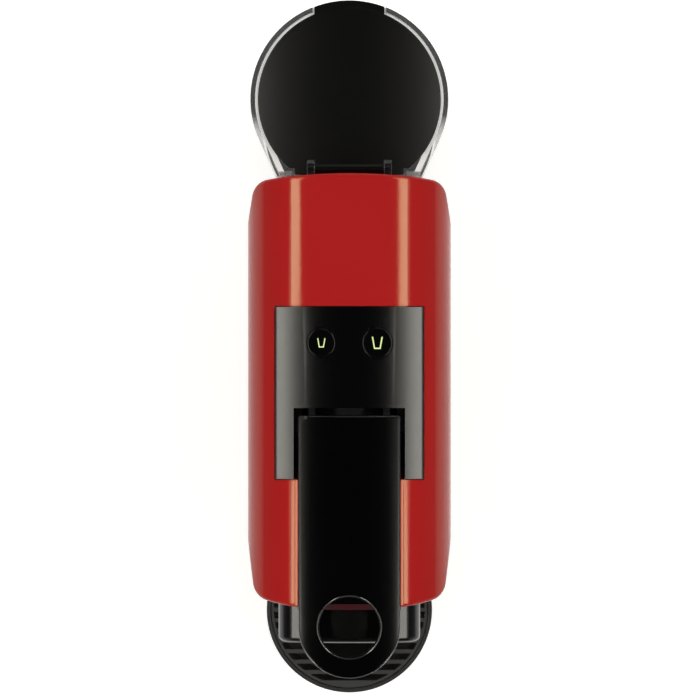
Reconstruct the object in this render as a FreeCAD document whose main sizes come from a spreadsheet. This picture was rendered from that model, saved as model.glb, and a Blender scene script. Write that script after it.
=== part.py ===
import FreeCAD
import Part
import Sketcher
import math
import os
import re

Vector = FreeCAD.Vector
Rotation = FreeCAD.Rotation

# Pod coffee machine, in millimetres. Z is up and the drip tray faces -Y.
# The origin lies on the table, under the middle of the machine's box.

sizes = {
    # Red outer shell
    "body_width": 91, "end_taper": 3.5, "corner_radius": 8, "shell_wall": 2.5,
    "shell_top": 203, "shell_bottom": 12, "crown_radius": 110, "shoulder_radius": 26,
    "shell_rear": 85.4, "head_front": 106, "column_front": 80, "head_underside": 129,
    "front_taper_start": 74.7, "rear_taper_start": 63.7, "lip_radius": 8, "throat_radius": 14,
    "front_bow": 170, "rear_bow": 290, "rim_round": 1.6, "boss_radius": 5, "boss_top": 40, "boss_inset": 7,
    "boss_front_y": 15, "boss_rear_y": 60,
    # Gaps between pieces
    "fit_gap": 0.25, "slide_gap": 0.8, "seat_gap": 0.2, "running_gap": 0.05,
    # Base, feet and screws
    "base_inset": 0.6, "foot_height": 2, "foot_radius": 4.5, "foot_inset": 5.7, "foot_front_y": 66,
    "foot_rear_x": 22, "foot_rear_y": 136, "bay_rear": 27.4, "screw_radius": 1.5, "screw_head_radius": 3,
    "screw_head": 2, "screw_length": 16, "gland_radius": 4, "gland_bore": 2, "gland_length": 6, "gland_y": 38,
    # Control panel and its two keys
    "panel_width": 65, "panel_front": 48.4, "panel_rear": 27, "panel_thickness": 3, "panel_ledge": 3,
    "recess_width": 48.8, "recess_rear": 17.2, "post_bite": 0.6, "hinge_block_end": 31,
    "hinge_block_depth": 14, "hinge_block_bottom": 189, "post_radius": 1.8, "post_x": 21, "post_front": 5,
    "key_spacing": 24.4, "key_y": 11.2, "small_key_radius": 6.4, "large_key_radius": 6.8, "key_proud": 0.5,
    "key_flange": 1.2, "key_flange_height": 2.3, "key_drop": 1.6, "key_travel": 1.2, "key_round": 0.7,
    "board_top": 190, "board_thickness": 1.6, "board_width": 48, "board_front": 0, "board_length": 22,
    "switch_size": 6, "switch_height": 3, "plunger_radius": 1.7, "switch_clearance": 0.2,
    # Lever, its axle and the crank
    "lever_width": 44.5, "lever_rear": 20.4, "ring_y": 112.8, "ring_hole_radius": 14, "lever_bottom": 197,
    "lever_proud": 0.2, "lever_round": 0.8, "lever_heel_round": 1.5, "channel_gap": 0.8, "channel_wall": 2,
    "channel_floor": 196, "pivot_y": 27, "pivot_z": 195.5, "barrel_radius": 4, "axle_radius": 2,
    "axle_length": 59, "lever_swing": 95, "crank_inner": 15, "crank_thickness": 3, "crank_boss_radius": 3,
    "crank_pin_radius": 1.5, "crank_slot_gap": 0.2,
    # Brewing unit
    "carriage_travel": 31, "capsule_axis": 155, "chamber_mouth": 47, "chamber_radius": 20,
    "chamber_bore": 15.5, "chamber_depth": 29, "chamber_length": 37, "chamber_boss": 8, "needle_radius": 1.2,
    "needle_length": 4, "needle_circle": 6, "seal_thickness": 1.2, "seal_inner": 16.5, "plate_gap": 0.3,
    "plate_radius": 17.5, "plate_thickness": 3, "plate_hole": 0.9, "plate_pitch": 4.5, "carriage_plate": 4.2,
    "carriage_bore": 13, "drawbar_inner": 22, "drawbar_thickness": 2.5, "drawbar_height": 12,
    "yoke_wall": 2.5, "yoke_play": 1.1, "outlet_radius": 4, "outlet_bore": 2.5, "outlet_length": 33,
    "outlet_drop": 13, "frame_inner": 25.5, "frame_plate": 3, "frame_front": 84, "frame_rear": 4,
    "frame_top": 186, "frame_bottom": 134, "frame_back": 4, "frame_flange": 7, "frame_flange_height": 3,
    "rail_height": 3.7,
    "rail_gap": 0.3, "frame_screw_x": 16, "slot_width": 39, "slot_front": 77,
    # Nose with the coffee outlet
    "nose_width": 63, "nose_front": 121.4, "nose_bottom": 133.2, "nose_top": 191, "nose_wall": 2,
    "nose_crown": 110, "nose_shoulder": 8, "nose_round": 2.5, "nose_flange": 1.5, "spout_y": 124,
    "hood_radius": 15, "hood_top": 150, "spout_radius": 5,
    "spout_bore": 2.5, "spout_end": 122, "spout_flange": 7.5, "spout_flange_height": 2.5,
    "gutter_width": 14, "gutter_height": 5, "gutter_wall": 1.2, "gutter_rear": 84,
    # Capsule container, carrier, drip tray and grid
    "container_width": 68, "container_rear": 28, "container_top": 116, "container_wall": 2,
    "carrier_bottom": 1.2, "carrier_height": 6.8, "carrier_clear": 2.3, "tray_foot_radius": 6,
    "tray_foot_x": 20, "tray_foot_y": 138, "tray_y": 123.2, "tray_radius": 41.8, "tray_wall": 2.1,
    "tray_top": 44, "tray_floor": 2, "tray_ledge": 1.6, "tray_round": 0.8, "grid_thickness": 2.6,
    "grid_rim": 1.4, "grid_sink": 0.6, "grid_pitch": 5.25, "grid_bar": 2.1,
    # Water tank, lid and valve
    "tank_y": 120.6, "tank_radius": 44.4, "neck_angle": 24, "tank_gap": 0.8, "tank_wall": 2.1,
    "tank_floor": 3,
    "tank_top": 174, "seat_top": 22, "seat_inset": 1, "tank_ledge": 2.4, "tank_ledge_height": 2,
    "lid_gap": 1.2, "lid_top": 175.2, "lid_thickness": 4.4, "lid_front": 89.6, "lid_tongue_width": 48.8,
    "lid_tongue_front": 86.8, "lid_tongue_thickness": 3, "lid_crown": 300,
    "tab_width": 31.4,
    "tab_inset": 0.2, "tab_thickness": 2.6, "tab_sink": 0.6, "hinge_y": 89.2, "hinge_z": 173.6,
    "hinge_pin_radius": 1.5,
    "knuckle_radius": 2.6, "knuckle_width": 31, "lug_width": 3, "lug_height": 12, "lug_rear": 91.7,
    "lug_clear": 4.1,
    "valve_y": 103, "valve_radius": 6.5, "valve_flange": 10, "valve_flange_height": 2.5, "valve_reach": 8,
    "valve_bore": 2.5, "socket_radius": 8.4, "o_ring_wire": 0.7,
    # Water circuit and electrics
    "hose_radius": 3, "hose_bend": 7, "hose_height": 17, "meter_y": 48, "meter_radius": 9, "meter_height": 12,
    "pump_inset": 25.5, "pump_y": 25, "pump_radius": 17, "pump_bottom": 36, "pump_length": 64,
    "nipple_radius": 3.6,
    "nipple_length": 8, "cradle_depth": 12, "cradle_wall": 4, "cradle_grip": 20, "cradle_tunnel": 12,
    "heater_inset": 23.5,
    "heater_width": 34, "heater_front": 8, "heater_depth": 36, "heater_bottom": 52, "heater_height": 56,
    "heater_groove": 3, "heater_grooves": 5, "post_width": 20, "hose_rise": 16, "main_board_width": 64,
    "main_board_bottom": 60,
    "main_board_height": 80, "main_board_gap": 4, "standoff_radius": 2.5, "standoff_inset": 6,
}

# Sizes worked out from the ones above
formulas = {
    "half_width": "body_width / 2", "end_half": "half_width - end_taper", "above": "shell_top + shell_wall",
    "lean": "(half_width - shoulder_radius) / (crown_radius - shoulder_radius)",
    "rise": "sqrt(1 - lean * lean)", "crown_centre": "shell_top - crown_radius",
    "shoulder_z": "crown_centre + (crown_radius - shoulder_radius) * rise",
    "run": "2 * (head_front + shell_rear)", "boss_x": "half_width - boss_inset",
    "foot_front_x": "half_width - foot_inset", "pump_x": "half_width - pump_inset",
    "carrier_width": "2 * (foot_front_x - foot_radius - carrier_clear)",
    "heater_x": "half_width - heater_inset", "lid_radius": "tank_radius - tank_wall - lid_gap",
    "tab_reach": "tank_radius - tab_inset",
    "panel_half": "panel_width / 2", "recess_half": "recess_width / 2",
    "window_half": "panel_half - panel_ledge",
    "window_front": "panel_front - panel_ledge", "lever_half": "lever_width / 2",
    "channel_half": "lever_half + channel_gap", "lever_top": "shell_top + lever_proud",
    "key_x": "key_spacing / 2", "key_top": "crown_centre + sqrt(crown_radius ^ 2 - key_x ^ 2) + key_proud",
    "key_under": "key_top - key_proud - panel_thickness - key_drop",
    "board_bottom": "board_top - board_thickness",
    "plunger_top": "key_under - key_flange_height - key_travel - switch_clearance",
    "crank_radius": "carriage_travel / (2 * sin(lever_swing / 2))",
    "crank_y": "carriage_travel / 2 - pivot_y", "crank_z": "pivot_z - crank_radius * cos(lever_swing / 2)",
    "crank_low": "pivot_z - crank_radius", "crank_outer": "crank_inner + crank_thickness",
    "drawbar_outer": "drawbar_inner + drawbar_thickness",
    "drawbar_bottom": "capsule_axis - drawbar_height / 2",
    "plate_face": "chamber_mouth + seal_thickness + plate_gap",
    "carriage_front": "plate_face + carriage_plate",
    "slot_top": "crank_z + crank_pin_radius + yoke_play",
    "slot_bottom": "crank_low - crank_pin_radius - yoke_play",
    "yoke_half": "crank_pin_radius + yoke_play", "frame_outer": "frame_inner + frame_plate",
    "outlet_z": "capsule_axis - outlet_drop", "nose_half": "nose_width / 2",
    "nose_lean": "(nose_half - nose_shoulder) / (nose_crown - nose_shoulder)",
    "nose_rise": "sqrt(1 - nose_lean * nose_lean)", "nose_centre": "nose_top - nose_crown",
    "wall_inside": "head_front - shell_wall",
    "front_sag": "front_bow - sqrt(front_bow ^ 2 - (nose_half + nose_flange) ^ 2)",
    "rim_front": "wall_inside - front_sag - fit_gap", "nose_rear": "rim_front - nose_wall",
    "tab_top": "lid_top - tab_sink", "tab_half": "tab_width / 2",
    "carrier_top": "carrier_bottom + carrier_height", "container_half": "container_width / 2",
    "bay_half": "container_half + slide_gap", "grid_radius": "tray_radius - tray_wall - fit_gap",
    "grid_top": "tray_top - grid_sink", "grid_bottom": "grid_top - grid_thickness",
    "ledge_top": "grid_bottom - seat_gap", "tank_front": "shell_rear + tank_gap",
    "tank_bottom": "seat_top + seat_gap", "tank_inside": "tank_bottom + tank_floor",
    "lid_bottom": "lid_top - lid_thickness", "tank_ledge_top": "lid_bottom - seat_gap",
    "lug_inner": "knuckle_width / 2 + fit_gap", "lug_outer": "lug_inner + lug_width",
    "notch_bottom": "tank_top - lug_height", "notch_half": "lid_tongue_width / 2 + slide_gap",
    "inner_rear": "shell_rear - shell_wall", "pump_top": "pump_bottom + pump_length",
    "heater_top": "heater_bottom + heater_height", "heater_middle": "heater_front + heater_depth / 2",
    "chamber_rear": "chamber_mouth - chamber_length", "board_face": "inner_rear - main_board_gap",
}

doc = FreeCAD.newDocument("pod_coffee_machine")
sheet = doc.addObject("Spreadsheet::Sheet", "Sizes")
for row, (alias, value) in enumerate(sizes.items(), start=1):
    sheet.set(f"A{row}", alias)
    sheet.set(f"B{row}", str(value))
    sheet.setAlias(f"B{row}", alias)
doc.recompute()

turns = {"x": Rotation(Vector(0, 1, 0), 90), "y": Rotation(Vector(1, 0, 0), -90), "z": Rotation()}
nodes = []


def expand(text):
    def word(match):
        name = match.group(0)
        if name in formulas:
            return "(" + expand(formulas[name]) + ")"
        return "Sizes." + name if name in sizes else name
    return re.sub(r"[a-z_]+", word, str(text))


def number(text):
    return float(sheet.evalExpression(expand(text)))


def bind(item, prop, text):
    item.setExpression(prop, expand(text))


def node(item):
    nodes.append(item)
    return item


def both(half):
    return f"-({half})", half


def box(name, x, y, z):
    solid = doc.addObject("Part::Box", name)
    for axis, prop, (low, high) in zip("xyz", ("Length", "Width", "Height"), (x, y, z)):
        bind(solid, f"Placement.Base.{axis}", low)
        bind(solid, prop, f"({high}) - ({low})")
    return solid


def round_bar(kind, name, axis, centre, span):
    solid = doc.addObject(kind, name)
    solid.Placement = FreeCAD.Placement(Vector(), turns[axis])
    low, high = span
    bind(solid, f"Placement.Base.{axis}", low)
    for other, value in zip([letter for letter in "xyz" if letter != axis], centre):
        bind(solid, f"Placement.Base.{other}", value)
    bind(solid, "Height", f"({high}) - ({low})")
    return solid


def cylinder(name, axis, centre, span, radius):
    solid = round_bar("Part::Cylinder", name, axis, centre, span)
    bind(solid, "Radius", radius)
    return solid


def cone(name, axis, centre, span, radius, end_radius):
    solid = round_bar("Part::Cone", name, axis, centre, span)
    bind(solid, "Radius1", radius)
    bind(solid, "Radius2", end_radius)
    return solid


def joined(kind, name, solids):
    item = doc.addObject(kind, name)
    item.Shapes = list(solids)
    return item


def fuse(name, *solids):
    return joined("Part::MultiFuse", name, solids)


def common(name, *solids):
    return joined("Part::MultiCommon", name, solids)


def cut(name, base, *tools):
    item = doc.addObject("Part::Cut", name)
    item.Base = base
    item.Tool = tools[0] if len(tools) == 1 else fuse(name + "_tools", *tools)
    return item


def group(name, solids):
    item = doc.addObject("Part::Compound", name)
    item.Links = list(solids)
    return item


def rounded(name, base, radius, select):
    doc.recompute()
    item = doc.addObject("Part::Fillet", name)
    item.Base = base
    size = number(radius)
    item.Edges = [(i, size, size) for i, edge in enumerate(base.Shape.Edges, start=1) if select(edge)]
    return item


def sketch(body, plane, outline, offset):
    # Each corner is held by its distances from the origin, and each arc by its radius
    item = body.newObject("Sketcher::SketchObject", body.Name + "_sketch")
    support = [feature for feature in body.Origin.OriginFeatures if feature.Role == plane + "_Plane"]
    item.AttachmentSupport = [(support[0], "")]
    item.MapMode = "FlatFace"
    bind(item, "AttachmentOffset.Base.z", offset)
    points = [Vector(number(corner[0]), number(corner[1]), 0) for corner in outline]
    for index, corner in enumerate(outline):
        start = points[index]
        end = points[(index + 1) % len(points)]
        if len(corner) == 2:
            item.addGeometry(Part.LineSegment(start, end))
            continue
        radius = number(corner[2])
        chord = end - start
        left = Vector(-chord.y, chord.x, 0).normalize()
        centre = (start + end) * 0.5 + left * math.sqrt(radius ** 2 - (chord.Length / 2) ** 2)
        angles = [math.atan2(point.y - centre.y, point.x - centre.x) for point in (start, end)]
        item.addGeometry(Part.ArcOfCircle(Part.Circle(centre, Vector(0, 0, 1), radius), *angles))
    for index in range(len(outline)):
        item.addConstraint(Sketcher.Constraint("Coincident", index, 2, (index + 1) % len(outline), 1))
    for index, corner in enumerate(outline):
        for kind, text in zip(("DistanceX", "DistanceY"), corner):
            place = item.addConstraint(Sketcher.Constraint(kind, -1, 1, index, 1, number(text)))
            bind(item, f"Constraints[{place}]", text)
        if len(corner) == 3:
            place = item.addConstraint(Sketcher.Constraint("Radius", index, number(corner[2])))
            bind(item, f"Constraints[{place}]", corner[2])
    return item


def pad(name, plane, outline, span):
    low, high = span
    body = doc.addObject("PartDesign::Body", name)
    item = body.newObject("PartDesign::Pad", name + "_pad")
    item.Profile = sketch(body, plane, outline, f"-({high})" if plane == "XZ" else low)
    bind(item, "Length", f"({high}) - ({low})")
    body.Tip = item
    return body


def round_off(body, radius, select):
    doc.recompute()
    base = body.Tip
    edges = [f"Edge{i}" for i, edge in enumerate(base.Shape.Edges, start=1) if select(edge)]
    item = body.newObject("PartDesign::Fillet", body.Name + "_round")
    item.Base = (base, edges)
    bind(item, "Radius", radius)
    body.Tip = item
    return body


def along(edge, axis):
    ends = [vertex.Point for vertex in edge.Vertexes]
    return len(ends) == 2 and abs(abs((ends[1] - ends[0]).normalize().dot(axis)) - 1) < 1e-6


def at(edge, x=None, y=None, z=None):
    wanted = [(axis, number(value)) for axis, value in zip("xyz", (x, y, z)) if value is not None]
    box_of = edge.BoundBox
    spans = {"x": (box_of.XMin, box_of.XMax), "y": (box_of.YMin, box_of.YMax),
             "z": (box_of.ZMin, box_of.ZMax)}
    return all(abs(limit - value) < 1e-3 for axis, value in wanted for limit in spans[axis])


# Shared outlines of the body: seen from above, from the front and from the side

def body_plan(name, inset, span):
    side = f"half_width - ({inset})"
    end = f"end_half - ({inset})"
    front_bow = f"(front_bow - ({inset}))"
    rear_bow = f"(rear_bow - ({inset}))"
    front = f"front_bow - head_front - sqrt({front_bow} ^ 2 - ({end}) ^ 2)"
    rear = f"shell_rear - rear_bow + sqrt({rear_bow} ^ 2 - ({end}) ^ 2)"
    outline = [(f"-({end})", front, front_bow), (end, front), (side, "-front_taper_start"),
               (side, "rear_taper_start"), (end, rear, rear_bow), (f"-({end})", rear),
               (f"-({side})", "rear_taper_start"), (f"-({side})", "-front_taper_start")]
    solid = pad(name, "XY", outline, span)
    corner_x = number(end)
    return round_off(solid, f"corner_radius - ({inset})", lambda edge: along(edge, Vector(0, 0, 1))
                     and abs(abs(edge.CenterOfMass.x) - corner_x) < 1e-3)


def body_arch(name, inset):
    side = f"half_width - ({inset})"
    crown = f"crown_radius - ({inset})"
    shoulder = f"shoulder_radius - ({inset})"
    meet_x = f"({crown}) * lean"
    meet_z = f"crown_centre + ({crown}) * rise"
    outline = [(f"-({side})", "-shell_bottom"), (side, "-shell_bottom"), (side, "shoulder_z", shoulder),
               (meet_x, meet_z, crown), (f"-({meet_x})", meet_z, shoulder), (f"-({side})", "shoulder_z")]
    return pad(name, "XZ", outline, both("run"))


def body_side(name, inset, bottom):
    column = f"-(column_front - ({inset}))"
    front = f"-(head_front - ({inset}))"
    under = f"head_underside + ({inset})"
    rear = f"shell_rear - ({inset})"
    outline = [(column, bottom), (rear, bottom), (rear, "above"), (front, "above"), (front, under),
               (column, under)]
    solid = pad(name, "YZ", outline, both("body_width"))
    solid = round_off(solid, f"lip_radius - ({inset})", lambda edge: at(edge, y=front, z=under))
    return round_off(solid, f"throat_radius + ({inset})", lambda edge: at(edge, y=column, z=under))


def body_solid(name, inset, bottom):
    return common(name, body_plan(name + "_plan", inset, ("0", "above")), body_arch(name + "_arch", inset),
                  body_side(name + "_side", inset, bottom))


# Nose outline: upright sides, two round shoulders and an arched top

def nose_profile(name, grow, span):
    side = f"nose_half + ({grow})"
    low = f"nose_bottom - ({grow})"
    crown = f"nose_crown + ({grow})"
    shoulder = f"nose_shoulder + ({grow})"
    shoulder_z = "nose_centre + (nose_crown - nose_shoulder) * nose_rise"
    meet_x = f"({crown}) * nose_lean"
    meet_z = f"nose_centre + ({crown}) * nose_rise"
    outline = [(f"-({side})", low), (side, low), (side, shoulder_z, shoulder), (meet_x, meet_z, crown),
               (f"-({meet_x})", meet_z, shoulder), (f"-({side})", shoulder_z)]
    return pad(name, "XZ", outline, span)


# Tank outline: a circle whose sides run on as tangents to the body's rear

def tank_plan(name, inset, front, span):
    radius = f"(tank_radius - ({inset}))"
    touch_x = f"{radius} * cos(neck_angle)"
    touch_y = f"tank_y - {radius} * sin(neck_angle)"
    front_x = f"{touch_x} - ({touch_y} - ({front})) * tan(neck_angle)"
    outline = [(f"-({front_x})", front), (front_x, front), (touch_x, touch_y, radius),
               ("0", f"tank_y + {radius}", radius), (f"-({touch_x})", touch_y)]
    return pad(name, "XY", outline, span)


def hose(name, route, radius):
    # Straight runs joined by bends of one radius
    points = [Vector(*[number(value) for value in point]) for point in route]
    edges = []
    start = points[0]
    bend = number("hose_bend")
    for before, corner, after in zip(points, points[1:], points[2:]):
        inward = (before - corner).normalize()
        outward = (after - corner).normalize()
        half_turn = inward.getAngle(outward) / 2
        enter = corner + inward * (bend / math.tan(half_turn))
        leave = corner + outward * (bend / math.tan(half_turn))
        middle_way = (inward + outward).normalize()
        middle = corner + middle_way * (bend / math.sin(half_turn) - bend)
        edges.append(Part.LineSegment(start, enter).toShape())
        edges.append(Part.Arc(enter, middle, leave).toShape())
        start = leave
    edges.append(Part.LineSegment(start, points[-1]).toShape())
    path = Part.Wire(edges)
    ring = Part.Wire(Part.Circle(points[0], (points[1] - points[0]).normalize(), number(radius)).toShape())
    item = doc.addObject("Part::Feature", name)
    item.Shape = path.makePipeShell([ring], True, False)
    return item


def sides(low, high):
    return [(low, high), (f"-({high})", f"-({low})")]


up = Vector(0, 0, 1)

lengthwise = Vector(0, 1, 0)


def end_rim(edge):
    limits = edge.BoundBox
    at_end = limits.YMin > number("rear_taper_start") or limits.YMax < -number("front_taper_start")
    high = limits.ZMax > number("shoulder_z + rim_round")
    return at_end and high and not along(edge, lengthwise) and not along(edge, up)


# Outer shell
outer = rounded("body_outer", body_solid("body_sharp", "0", "shell_bottom"), "rim_round", end_rim)
inner = body_solid("body_inner", "shell_wall", "shell_bottom - shell_wall")
hollow = cut("shell_hollow", outer, inner)
ledge_box = box("ledge_box", both("panel_half + panel_ledge"),
                ("-(panel_front + panel_ledge)", "panel_rear + panel_ledge"), ("shoulder_z", "above"))
ledge = cut("shell_ledge", common("ledge_solid", ledge_box, outer),
            body_arch("ledge_under", "panel_thickness + shell_wall"))
channel_box = box("channel_box", both("channel_half + channel_wall"), ("-head_front", "-window_front"),
                  ("channel_floor - shell_wall", "above"))
channel = common("shell_channel", channel_box, outer)
boss_places = [(x, y) for x in ("boss_x", "-boss_x") for y in ("-boss_front_y", "boss_rear_y")]
bosses = [cylinder(f"shell_boss_{i}", "z", place, ("shell_bottom", "boss_top"), "boss_radius")
          for i, place in enumerate(boss_places)]
boss_bores = [cylinder(f"shell_bore_{i}", "z", place, ("0", "boss_top - shell_wall"),
                       "screw_radius + running_gap")
              for i, place in enumerate(boss_places)]
panel_y = ("-(panel_front + fit_gap)", "panel_rear + fit_gap")
panel_pocket = cut("panel_pocket", box("pocket_box", both("panel_half + fit_gap"), panel_y,
                                       ("shoulder_z", "above")),
                   body_arch("pocket_floor", "panel_thickness"))
window = box("panel_window", both("window_half"), ("-window_front", "panel_rear - panel_ledge"),
             ("shoulder_z", "above"))
lever_channel = box("lever_channel", both("channel_half"), ("-run", "-window_front"),
                    ("channel_floor", "above"))
capsule_slot = box("capsule_slot", both("slot_width / 2"), ("-slot_front", "-window_front + panel_ledge"),
                   ("shoulder_z", "above"))
nose_opening = nose_profile("nose_opening", "fit_gap", ("-run", "-nose_rear"))
bay = box("container_bay", both("bay_half"), ("-run / 2", "-(column_front - shell_wall - slide_gap)"),
          ("0", "container_top + slide_gap"))
hose_hole = cylinder("rear_hose_hole", "y", ("0", "hose_height"), ("inner_rear - shell_wall", "run"),
                     "hose_radius + fit_gap")
node(cut("outer_shell", fuse("shell_full", hollow, ledge, channel, *bosses), *boss_bores, panel_pocket,
         window,
         lever_channel, capsule_slot, nose_opening, bay, hose_hole))

# Base plate under the column, with a bay for the capsule container
base_block = common("base_block", body_plan("base_plan", "base_inset", ("foot_height", "shell_bottom")),
                    box("base_limit", both("body_width"), ("-column_front", "run"), ("0", "shell_bottom")))
base_bay = box("base_bay", both("bay_half"), ("-run", "-bay_rear"), ("0", "above"))
screw_seats = [cylinder(f"screw_seat_{i}", "z", place, ("0", "foot_height + 2 * screw_head"),
                        "screw_head_radius + fit_gap") for i, place in enumerate(boss_places)]
gland_span = ("-(half_width - base_inset)", "-(half_width - base_inset - gland_length)")
gland_middle = ("gland_y", "(foot_height + shell_bottom) / 2")
gland_seat = cylinder("gland_seat", "x", gland_middle, ("-body_width", gland_span[1]),
                      "gland_radius + running_gap")
frame_screw_y = "frame_back - frame_rear + frame_flange / 2"
frame_screw_places = [(x, frame_screw_y) for x in ("frame_screw_x", "-frame_screw_x")]
frame_bores = [cylinder(f"frame_bore_{i}", "z", place, ("foot_height", "above"), "screw_radius + running_gap")
               for i, place in enumerate(frame_screw_places)]
node(cut("base_plate", base_block, base_bay, gland_seat, *screw_seats, *boss_bores, *frame_bores))
node(cut("cord_gland", cylinder("gland_body", "x", gland_middle, gland_span, "gland_radius"),
         cylinder("gland_hole", "x", gland_middle, ("-body_width", "0"), "gland_bore")))
foot_places = [(x, y) for x in ("foot_front_x", "-foot_front_x") for y in ["-foot_front_y"]]
foot_places += [(x, y) for x in ("foot_rear_x", "-foot_rear_x") for y in ["foot_rear_y"]]
node(group("rubber_feet", [cylinder(f"foot_{i}", "z", place, ("0", "foot_height"), "foot_radius")
                           for i, place in enumerate(foot_places)]))


def screw(name, place, head_bottom, head_top, tip):
    low, high = sorted((head_top, tip), key=number)
    return fuse(name, cylinder(name + "_head", "z", place, (head_bottom, head_top), "screw_head_radius"),
                cylinder(name + "_shank", "z", place, (low, high), "screw_radius"))


node(group("base_screws", [screw(f"base_screw_{i}", place, "foot_height + screw_head",
                                 "foot_height + 2 * screw_head", "foot_height + screw_head + screw_length")
                           for i, place in enumerate(boss_places)]))

# Control panel with the lever's two hinge blocks
panel_box = box("panel_box", both("panel_half"), ("-panel_front", "panel_rear"), ("shoulder_z", "above"))
panel_skin = cut("panel_skin", common("panel_crown", panel_box, outer),
                 body_arch("panel_under", "panel_thickness"))
hinge_y_span = ("-(pivot_y + hinge_block_depth / 2)", "-(pivot_y - hinge_block_depth / 2)")
hinge_blocks = [common(f"hinge_block_{i}", box(f"hinge_box_{i}", span, hinge_y_span,
                                               ("hinge_block_bottom", "above")),
                       outer) for i, span in enumerate(sides("recess_half", "hinge_block_end - panel_ledge"))]
post_top = "crown_centre + sqrt((crown_radius - panel_thickness) ^ 2 - post_x ^ 2) + post_bite"
post_places = [(x, y) for x in ("post_x", "-post_x")
               for y in ("board_front + post_front - fit_gap", "board_front + board_length - post_front / 2")]
posts = [cylinder(f"board_post_{i}", "z", place, ("board_top", post_top), "post_radius")
         for i, place in enumerate(post_places)]
recess = box("lever_recess", both("recess_half"), ("-run", "-recess_rear"), ("hinge_block_bottom", "above"))
pivot = ("-pivot_y", "pivot_z")
axle_bore = cylinder("axle_bore", "x", pivot, both("axle_length / 2 + fit_gap"), "axle_radius + running_gap")
key_radii = {"small_cup_button": ("-key_x", "small_key_radius"),
             "large_cup_button": ("key_x", "large_key_radius")}
key_holes = [cylinder(f"key_hole_{i}", "z", (x, "key_y"), ("hinge_block_bottom", "above"),
                      f"{radius} + fit_gap")
             for i, (x, radius) in enumerate(key_radii.values())]
node(cut("control_panel", fuse("panel_full", panel_skin, *hinge_blocks, *posts), recess, axle_bore,
         *key_holes))

for name, (x, radius) in key_radii.items():
    cap = cylinder(name + "_cap", "z", (x, "key_y"), ("key_under - key_flange_height", "key_top"), radius)
    cap = rounded(name + "_dome", cap, "key_round", lambda edge: at(edge, z="key_top"))
    flange = cylinder(name + "_flange", "z", (x, "key_y"), ("key_under - key_flange_height", "key_under"),
                      f"{radius} + key_flange")
    node(fuse(name, cap, flange))

board_y = ("board_front", "board_front + board_length")
node(box("button_board", both("board_width / 2"), board_y, ("board_bottom", "board_top")))
switches = []
for i, (x, radius) in enumerate(key_radii.values()):
    block = box(f"switch_block_{i}", (f"{x} - switch_size / 2", f"{x} + switch_size / 2"),
                ("key_y - switch_size / 2", "key_y + switch_size / 2"),
                ("board_top", "board_top + switch_height"))
    stem = cylinder(f"switch_stem_{i}", "z", (x, "key_y"), ("board_top", "plunger_top"), "plunger_radius")
    switches.append(fuse(f"switch_{i}", block, stem))
node(group("button_switches", switches))

# Lever with its finger ring
lever_outline = [("-lever_half", "-ring_y", "lever_half"), ("0", "-(ring_y + lever_half)", "lever_half"),
                 ("lever_half", "-ring_y"), ("lever_half", "-lever_rear"), ("-lever_half", "-lever_rear")]
lever_blank = common("lever_blank", pad("lever_plan", "XY", lever_outline, ("lever_bottom", "above")),
                     body_arch("lever_crown", "-lever_proud"))
ring_hole = cylinder("ring_hole", "z", ("0", "-ring_y"), ("0", "above"), "ring_hole_radius")
heel_z = number("lever_bottom")
lever_heel = rounded("lever_heel", cut("lever_ringed", lever_blank, ring_hole), "lever_heel_round",
                     lambda edge: at(edge, y="-lever_rear") and edge.BoundBox.ZMin > heel_z + 1e-3
                     and not along(edge, up))
lever_rim = rounded("lever_rim", lever_heel, "lever_round",
                    lambda edge: edge.BoundBox.ZMax > heel_z + 2 and not along(edge, up)
                    and edge.BoundBox.YMax < -number("lever_rear + lever_heel_round") + 1e-3)
barrel = cylinder("lever_barrel", "x", pivot, both("lever_half"), "barrel_radius")
crank_spans = sides("crank_inner - crank_slot_gap", "crank_outer + crank_slot_gap")
slot_reach = "barrel_radius + 3 * crank_slot_gap"
crank_slots = [box(f"crank_slot_{i}", span, (f"-pivot_y - ({slot_reach})", f"-pivot_y + ({slot_reach})"),
                   ("0", "pivot_z + barrel_radius + crank_slot_gap")) for i, span in enumerate(crank_spans)]
node(cut("lever", fuse("lever_full", lever_rim, barrel), axle_bore, *crank_slots))
node(cylinder("lever_axle", "x", pivot, both("axle_length / 2"), "axle_radius"))

# Crank arms and pins, which drive the carriage
half_swing = "lever_swing / 2"
arm_x = f"crank_boss_radius * cos({half_swing})"
arm_z = f"crank_boss_radius * sin({half_swing})"
arm_outline = [(f"-pivot_y - {arm_x}", f"pivot_z - {arm_z}"), (f"crank_y - {arm_x}", f"crank_z - {arm_z}"),
               (f"crank_y + {arm_x}", f"crank_z + {arm_z}"), (f"-pivot_y + {arm_x}", f"pivot_z + {arm_z}")]
arms = []
pins = []
for i, span in enumerate(sides("crank_inner", "crank_outer")):
    arm = fuse(f"crank_blank_{i}", pad(f"crank_web_{i}", "YZ", arm_outline, span),
               cylinder(f"crank_hub_{i}", "x", pivot, span, "barrel_radius"),
               cylinder(f"crank_boss_{i}", "x", ("crank_y", "crank_z"), span, "crank_boss_radius"))
    pin_hole = cylinder(f"crank_hole_{i}", "x", ("crank_y", "crank_z"), both("half_width"),
                        "crank_pin_radius + running_gap")
    arms.append(cut(f"crank_arm_{i}", arm, axle_bore, pin_hole))
for i, span in enumerate(sides("crank_inner", "drawbar_outer - fit_gap")):
    pins.append(cylinder(f"crank_pin_{i}", "x", ("crank_y", "crank_z"), span, "crank_pin_radius"))
node(group("crank_arms", arms))
node(group("crank_pins", pins))

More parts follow.
